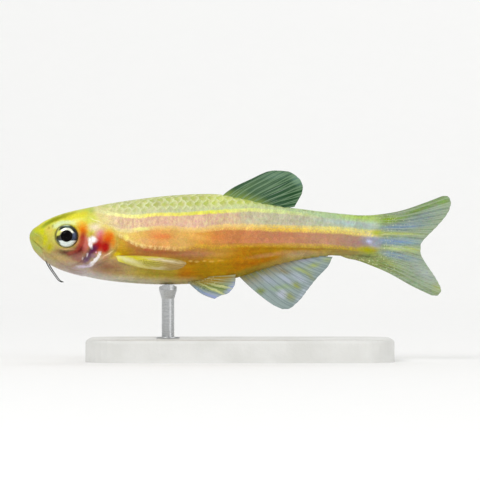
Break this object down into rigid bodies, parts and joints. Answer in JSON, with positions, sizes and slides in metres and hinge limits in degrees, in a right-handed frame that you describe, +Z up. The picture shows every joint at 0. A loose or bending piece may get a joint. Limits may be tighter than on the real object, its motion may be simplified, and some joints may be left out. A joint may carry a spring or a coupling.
{
  "type": "zebra danio model",
  "caption": "Life-size still model of a small striped freshwater fish in a swimming pose, held by a short rod over a flat rounded display base.",
  "frame": {"origin": "middle of the underside of the stand's base, which is also under the middle of the fish's length", "axes": "+Z up; the head points to -X and the tail to +X; the fish's left side faces -Y"},
  "size_m": [0.0469, 0.017, 0.0211],
  "materials": {
    "head_skin": "moist scaleless skin, yellow-green above and silvery tan below",
    "trunk_skin": "overlapping scales with golden and orange lengthwise stripes",
    "tail_skin": "overlapping scales with golden, orange and grey lengthwise stripes",
    "gill_cover_skin": "smooth pearly plate flushed pink and orange-red",
    "eye": "polished, black pupil in a silver iris",
    "barbel": "thin dark grey feeler",
    "dorsal_fin": "translucent dark green membrane with lighter rays",
    "anal_fin": "translucent pale blue-grey membrane with yellow-green spots and rays",
    "caudal_fin": "translucent grey-green membrane with blue-grey and yellow bands and rays",
    "pelvic_fin": "translucent green-yellow membrane with a pale edge and rays",
    "pectoral_fin": "clear membrane with a bright yellow first ray",
    "stand_paint": "pale satin paint on aluminium",
    "stand_steel": "turned and brushed stainless steel"
  },
  "bodies": {
    "root": {"head": "head_skin", "trunk": "trunk_skin", "tail": "tail_skin", "gill_cover_left": "gill_cover_skin", "gill_cover_right": "gill_cover_skin", "eye_left": "eye", "eye_right": "eye", "barbel_maxillary_left": "barbel", "barbel_maxillary_right": "barbel", "barbel_rostral_left": "barbel", "barbel_rostral_right": "barbel", "dorsal_fin": "dorsal_fin", "anal_fin": "anal_fin", "caudal_fin_upper": "caudal_fin", "caudal_fin_lower": "caudal_fin", "pelvic_fin_left": "pelvic_fin", "pelvic_fin_right": "pelvic_fin", "pectoral_fin_left": "pectoral_fin", "pectoral_fin_right": "pectoral_fin", "stand_base": "stand_paint", "stand_rod": "stand_steel"}
  },
  "joints": []
}
